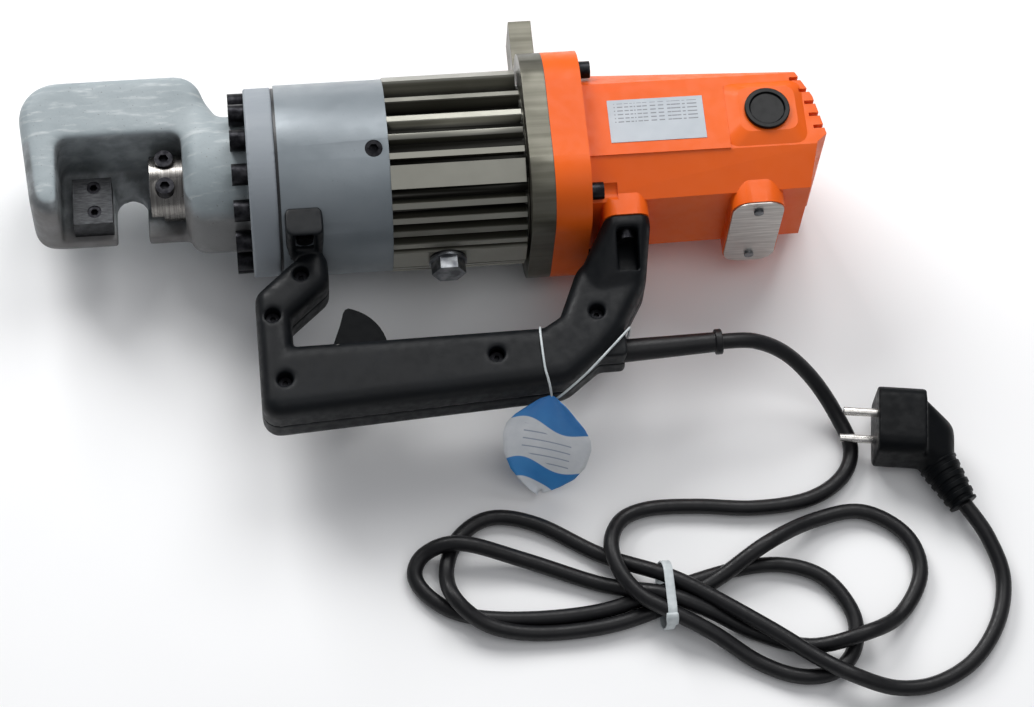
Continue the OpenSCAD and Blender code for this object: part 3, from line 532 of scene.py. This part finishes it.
def cast_paint():
    """Silver-grey paint over a rough casting, rubbed and chipped, with painted shade in the pocket and
    on the lower faces towards the handle; the flange is machined.
    """
    s = Surface("cast_paint", (0.45, 0.49, 0.51), 0.5)
    along, across, up = s.split()
    blotches = s.noise(22, 5)
    strokes = s.noise(58, 5, stretch=(1, 4.6, 1), turn=(0, 0, 0.75))
    fine = s.noise(700, 2)
    tone = s.mix(s.ramp(blotches, 0.3, 0.75), (0.245, 0.285, 0.30), (0.315, 0.355, 0.37))
    tone = s.mix(s.ramp(strokes, 0.52, 0.74), tone, (0.40, 0.435, 0.445))
    tone = s.mix(s.ramp(fine, 0.68, 0.76), tone, (0.13, 0.125, 0.12))
    # painted shade: the pocket is painted darker and rough, as the shade in the recess
    pocket = s.math("MULTIPLY", s.ramp(up, *POCKET_SHADE_Z), s.ramp(along, *POCKET_SHADE_X))
    pocket_shade = s.mix(s.ramp(s.noise(90, 5), 0.35, 0.7), (0.12, 0.13, 0.135), (0.26, 0.28, 0.29))
    tone = s.mix(s.math("MULTIPLY", pocket, s.ramp(across, *POCKET_SHADE_Y)), tone, pocket_shade)
    # painted shade: the lower faces towards the handle are painted darker and browner, as the side away
    # from the light
    shaded_side = s.math("MULTIPLY", s.ramp(across, *SHADED_SIDE_Y), s.ramp(up, *SHADED_SIDE_Z))
    tone = s.mix(s.math("MULTIPLY", shaded_side, 0.75), tone, (0.13, 0.12, 0.115))
    s.color(s.mix(s.ramp(along, CAST_START_X, FLANGE_END_X), tone, SATIN_GREY))
    s.roughness(s.ramp(strokes, 0.4, 0.75, 0.62, 0.42))
    rough_cast = s.math("MULTIPLY", s.noise(130, 5), s.ramp(along, FLANGE_END_X, CAST_START_X))
    s.bump(rough_cast, 0.0010, 0.45)
    return s.material


def satin_paint():
    """Even grey machine paint with a faint orange peel."""
    s = Surface("satin_paint", SATIN_GREY, 0.36, 0.2)
    tone = s.mix(s.ramp(s.noise(14, 4), 0.3, 0.75), (0.18, 0.207, 0.226), (0.225, 0.252, 0.272))
    fine = s.ramp(s.noise(500, 2), 0.70, 0.78)
    tone = s.mix(s.math("MULTIPLY", fine, 0.35), tone, (0.10, 0.11, 0.12))
    # the cylinder is painted near-black in the groove behind the head's flange
    groove = (-0.0833, -0.0838)
    s.color(s.mix(s.ramp(s.split()[0], *groove), tone, (0.02, 0.021, 0.023)))
    s.roughness(s.ramp(s.noise(90, 3), 0.3, 0.7, 0.32, 0.44))
    s.bump(s.noise(420, 2), 0.00006, 0.5)
    return s.material


# where the reservoir's ribs end, and the radii between which the painted highlight on their tips and
# the painted shade in their gaps begin
RESERVOIR_END_X = (0.0572, 0.0568)
RIB_HIGHLIGHT_R, RIB_SHADE_R = (0.0545, 0.0558), (0.0515, 0.0475)


def anodised():
    """Olive bronze anodised aluminium with lines along the extrusion, a painted highlight on the rib
    tips and painted shade between the ribs.
    """
    s = Surface("anodised", (0.10, 0.096, 0.075), 0.38, 0.6)
    lines = s.noise(260, 3, stretch=(0.04, 1, 1))
    along, across, up = s.split()
    out = s.math("ADD", s.math("POWER", s.math("SUBTRACT", across, AXIS_Y), 2.0),
                 s.math("POWER", s.math("SUBTRACT", up, AXIS_Z), 2.0))
    radius = s.math("POWER", out, 0.5)
    tone = s.mix(s.ramp(lines, 0.3, 0.7), (0.085, 0.082, 0.062), (0.13, 0.125, 0.10))
    # painted highlight: the rib tips are painted bright; painted shade: the gaps between the ribs are
    # painted dark
    tip_highlight = s.math("MULTIPLY", s.ramp(radius, *RIB_HIGHLIGHT_R), s.ramp(along, *RESERVOIR_END_X))
    tone = s.mix(tip_highlight, tone, (0.30, 0.295, 0.255))
    gap_shade = s.math("MULTIPLY", s.ramp(radius, *RIB_SHADE_R), s.ramp(along, *RESERVOIR_END_X))
    s.color(s.mix(gap_shade, tone, (0.035, 0.034, 0.028)))
    s.roughness(s.ramp(s.noise(60, 4), 0.3, 0.7, 0.30, 0.44))
    s.bump(s.noise(380, 3), 0.00004, 0.4)
    return s.material


def orange_plastic():
    """Bright orange glass-filled plastic with a fine grain."""
    s = Surface("orange_plastic", (0.78, 0.115, 0.008), 0.4)
    s.shader.inputs["Specular IOR Level"].default_value = 0.22
    s.color(s.mix(s.ramp(s.noise(11, 4), 0.3, 0.75), (0.74, 0.103, 0.006), (0.81, 0.125, 0.009)))
    s.roughness(s.ramp(s.noise(150, 3), 0.35, 0.7, 0.33, 0.47))
    s.bump(s.noise(1500, 2), 0.00005, 0.5)
    return s.material


def black_plastic(name, base, rough, grain, sheen):
    """Black moulded plastic; base is its tone, grain the height of its texture in metres."""
    s = Surface(name, (base, base * 1.2, base * 1.45), rough)
    s.shader.inputs["Specular IOR Level"].default_value = sheen
    s.color(s.mix(s.ramp(s.noise(30, 5), 0.35, 0.75), (base * 0.85, base * 1.1, base * 1.45),
                  (base * 1.2, base * 1.6, base * 2.1)))
    s.roughness(s.ramp(s.noise(220, 3), 0.3, 0.7, rough - 0.08, rough + 0.1))
    s.bump(s.noise(1300, 2), grain, 0.6)
    return s.material


def rubber(name):
    """Soft black rubber or cable sheath."""
    s = Surface(name, (0.005, 0.005, 0.006), 0.42)
    s.shader.inputs["Specular IOR Level"].default_value = 0.3
    s.color(s.mix(s.ramp(s.noise(45, 4), 0.35, 0.75), (0.004, 0.004, 0.005), (0.008, 0.008, 0.009)))
    s.roughness(s.ramp(s.noise(350, 3), 0.3, 0.7, 0.34, 0.5))
    s.bump(s.noise(900, 2), 0.00005, 0.4)
    return s.material


def metal(name, dark, light, rough, scale=300, stretch=(1, 1, 1), height=0.00003):
    """A bare metal; stretch gives the direction of its machining marks."""
    s = Surface(name, light, rough, 1.0)
    marks = s.noise(scale, 3, stretch=stretch)
    s.color(s.mix(s.ramp(marks, 0.3, 0.72), dark, light))
    s.roughness(s.ramp(s.noise(70, 4), 0.3, 0.7, rough - 0.06, rough + 0.1))
    s.bump(marks, height, 0.5)
    return s.material


def plain(name, dark, light, rough, scale=120):
    """A non-metal with slight tone and surface variation."""
    s = Surface(name, light, rough)
    s.color(s.mix(s.ramp(s.noise(scale, 4), 0.3, 0.75), dark, light))
    s.roughness(s.ramp(s.noise(scale * 3, 2), 0.3, 0.7, rough - 0.05, rough + 0.08))
    s.bump(s.noise(scale * 8, 2), 0.00003, 0.4)
    return s.material


def printed_card():
    """White card printed with blue bands and blank form lines."""
    s = Surface("printed_card", (0.8, 0.82, 0.85), 0.4)
    uv = s.tree.nodes.new("ShaderNodeUVMap")
    uv.uv_map = "print"
    apart = s.tree.nodes.new("ShaderNodeSeparateXYZ")
    s.link(uv.outputs[0], apart.inputs[0])
    across, down = apart.outputs[0], apart.outputs[1]
    wave = s.math("MULTIPLY", s.math("SINE", s.math("MULTIPLY", across, 7.0)), 0.06)
    level = s.math("ADD", down, wave)
    paper = s.mix(s.ramp(s.noise(60, 4), 0.3, 0.7), (0.72, 0.75, 0.78), (0.84, 0.86, 0.88))
    blue = s.mix(s.ramp(s.noise(40, 3), 0.3, 0.7), (0.03, 0.20, 0.55), (0.05, 0.28, 0.66))
    tone = s.mix(s.ramp(level, 0.30, 0.29), paper, blue)
    tone = s.mix(s.band(level, 0.70, 0.90, 0.01), tone, blue)
    rows = s.math("FRACT", s.math("MULTIPLY", down, 13.0))
    between = s.band(level, 0.36, 0.66, 0.01)
    margins = s.band(across, 0.22, 0.78, 0.01)
    lines = s.math("MULTIPLY", s.math("MULTIPLY", s.ramp(rows, 0.84, 0.86), between), margins)
    s.color(s.mix(lines, tone, (0.35, 0.40, 0.50)))
    s.roughness(s.ramp(s.noise(300, 2), 0.3, 0.7, 0.30, 0.42))
    s.bump(s.noise(500, 2), 0.00002, 0.4)
    return s.material


# the label's printed area and its rows of bars, in metres
PRINT_X, PRINT_Y, PRINT_EDGE = (0.1095, 0.1575), (0.0320, 0.0452), 0.0001
ROWS_START, ROW_PITCH = 0.020, 0.0024


def label_film():
    """White film with rows of plain grey bars where a printed notice would be."""
    s = Surface("label_film", (0.6, 0.62, 0.64), 0.35)
    along, across, _ = s.split()
    film = s.mix(s.ramp(s.noise(30, 3), 0.3, 0.7), (0.35, 0.385, 0.42), (0.40, 0.435, 0.47))
    rows = s.math("MULTIPLY", s.math("SUBTRACT", across, ROWS_START), 1 / ROW_PITCH)
    bars = s.band(s.math("FRACT", rows), 0.30, 0.66, 0.04)
    words = s.noise(420, 1, stretch=(1, 0.001, 0.001))
    bars = s.math("MULTIPLY", bars, s.ramp(words, 0.44, 0.47))
    area = s.math("MULTIPLY", s.band(across, *PRINT_Y, PRINT_EDGE), s.band(along, *PRINT_X, PRINT_EDGE))
    s.color(s.mix(s.math("MULTIPLY", bars, area), film, (0.16, 0.17, 0.19)))
    s.roughness(s.ramp(s.noise(200, 3), 0.3, 0.7, 0.28, 0.4))
    s.bump(s.noise(700, 2), 0.00002, 0.4)
    return s.material


MATERIALS = {
    "cast_head": cast_paint(),
    "black_steel": metal("black_oxide", (0.010, 0.010, 0.012), (0.030, 0.030, 0.033), 0.38),
    "blade_steel": metal("tool_steel", (0.034, 0.035, 0.037), (0.064, 0.066, 0.069), 0.45,
                         240, (1, 6, 1)),
    "ram_steel": metal("turned_steel", (0.11, 0.104, 0.098), (0.27, 0.26, 0.245), 0.25,
                       500, (6, 0.1, 0.1)),
    "cylinder_paint": satin_paint(),
    "reservoir_alloy": anodised(),
    "zinc_steel": metal("zinc_plate", (0.10, 0.105, 0.115), (0.28, 0.29, 0.30), 0.33, 180),
    "seal_rubber": rubber("seal_rubber"),
    "bare_alloy": metal("bare_alloy", (0.5, 0.5, 0.5), (0.72, 0.72, 0.73), 0.34, 300, (0.2, 3, 3)),
    "brass": metal("brass", (0.45, 0.30, 0.10), (0.72, 0.52, 0.22), 0.32),
    "copper": metal("copper_wire", (0.38, 0.13, 0.05), (0.70, 0.30, 0.15), 0.36,
                    900, (1, 0.2, 0.2), 0.0002),
    "motor_steel": metal("laminations", (0.18, 0.18, 0.19), (0.38, 0.38, 0.40), 0.45,
                         1600, (1, 0.01, 0.01), 0.0001),
    "housing_orange": orange_plastic(),
    "handle_black": black_plastic("black_plastic", 0.0030, 0.46, 0.00003, 0.19),
    "trigger_black": black_plastic("trigger_black", 0.0016, 0.5, 0.00003, 0.07),
    "cap_black": black_plastic("cap_black", 0.0016, 0.16, 0.000005, 0.13),
    "label_white": label_film(),
    "plate_silver": metal("etched_plate", (0.42, 0.40, 0.38), (0.62, 0.60, 0.57), 0.36,
                          200, (0.2, 1, 3)),
    "cord_rubber": rubber("cord_rubber"),
    "plug_black": black_plastic("plug_black", 0.0020, 0.42, 0.00003, 0.10),
    "pin_nickel": metal("nickel", (0.55, 0.53, 0.50), (0.80, 0.78, 0.74), 0.22),
    "tie_nylon": plain("tie_nylon", (0.42, 0.46, 0.47), (0.60, 0.64, 0.65), 0.4),
    "carbon": plain("graphite", (0.02, 0.02, 0.02), (0.05, 0.05, 0.05), 0.6, 300),
}


def paint(piece, slot):
    """Gives a piece one material and no other."""
    piece.data.materials.clear()
    piece.data.materials.append(MATERIALS[slot])


def finish_nodes():
    """Every CAD node gets the material of its slot in the record."""
    for node, slot in SLOTS.items():
        paint(NODES[node], slot)
    for node, piece in ROUNDED.items():
        paint(piece, SLOTS[node])


# how far each of these nodes' sharp edges are rounded, in metres
EDGE_WIDTHS = {
    "hydraulic_cylinder": 0.0006, "lug_flange": 0.0012, "motor_housing": 0.0014,
    "oil_reservoir": 0.0004, "oil_filler_plug": 0.0005, "head_bolts": 0.0005,
    "fixed_blade": 0.0004, "piston_ram": 0.0004, "brush_caps": 0.0005,
    "cord_guard": 0.0006, "trigger": 0.0008,
}
SHARP_ANGLE = math.radians(32)
FLAT_ANGLE = math.radians(1)


def soften(node, width):
    """Rounds a CAD node's sharp edges a little, with modifiers only."""
    piece = NODES[node]
    weld = piece.modifiers.new("weld", "WELD")
    weld.merge_threshold = 1e-6
    flat = piece.modifiers.new("flat", "DECIMATE")
    flat.decimate_type = "DISSOLVE"
    flat.angle_limit = FLAT_ANGLE
    bevel = piece.modifiers.new("bevel", "BEVEL")
    bevel.width = width
    bevel.segments = 3
    bevel.limit_method = "ANGLE"
    bevel.angle_limit = SHARP_ANGLE
    bevel.use_clamp_overlap = True
    bevel.harden_normals = False


finish_nodes()
paint(NODES["trigger"], "trigger_black")
paint(cord, "cord_rubber")
for piece in tie_pieces + [tag_string]:
    paint(piece, "tie_nylon")
hang_tag.data.materials.append(printed_card())
paint(plug_sleeve, "plug_black")
for node, width in EDGE_WIDTHS.items():
    soften(node, width)


# ---- stage and light ----

FLOOR_SIZE, FLOOR_Z = 12, -0.0002
LIGHTS_AIM = Vector((0, 0, 0.03))
# each light's place, size in metres and power in watts
LIGHTS = {
    "key": ((-0.7, 1.3, 1.2), 0.9, 27),
    "top": ((0.6, 1.2, 1.7), 1.2, 22),
    "fill": ((0.5, -0.5, 1.9), 1.4, 6),
}
SKY_COLOR, SKY_STRENGTH = (0.93, 0.95, 1.0, 1), 0.30


def make_floor():
    """A white paper floor just under the tool."""
    bpy.ops.mesh.primitive_plane_add(size=FLOOR_SIZE, location=(0, 0, FLOOR_Z))
    floor = bpy.context.object
    floor.name = "floor"
    s = Surface("floor_paper", (0.91, 0.91, 0.91), 0.7)
    s.color(s.mix(s.ramp(s.noise(3, 3), 0.3, 0.7), (0.895, 0.895, 0.895), (0.925, 0.925, 0.925)))
    floor.data.materials.append(s.material)


def area_light(name, place, size, power):
    """A square lamp at place that shines on LIGHTS_AIM."""
    data = bpy.data.lights.new(name, "AREA")
    data.size = size
    data.energy = power
    light = bpy.data.objects.new(name, data)
    light.location = place
    light.rotation_euler = (LIGHTS_AIM - Vector(place)).to_track_quat("-Z", "Y").to_euler()
    bpy.context.scene.collection.objects.link(light)


def make_light():
    """The sky, the lamps and the way that the picture's colours are shown."""
    world = bpy.data.worlds.new("studio")
    world.use_nodes = True
    background = world.node_tree.nodes["Background"]
    background.inputs["Color"].default_value = SKY_COLOR
    background.inputs["Strength"].default_value = SKY_STRENGTH
    bpy.context.scene.world = world
    for name, (place, size, power) in LIGHTS.items():
        area_light(name, place, size, power)
    bpy.context.scene.view_settings.view_transform = "Standard"


make_floor()
make_light()

bpy.context.view_layer.update()
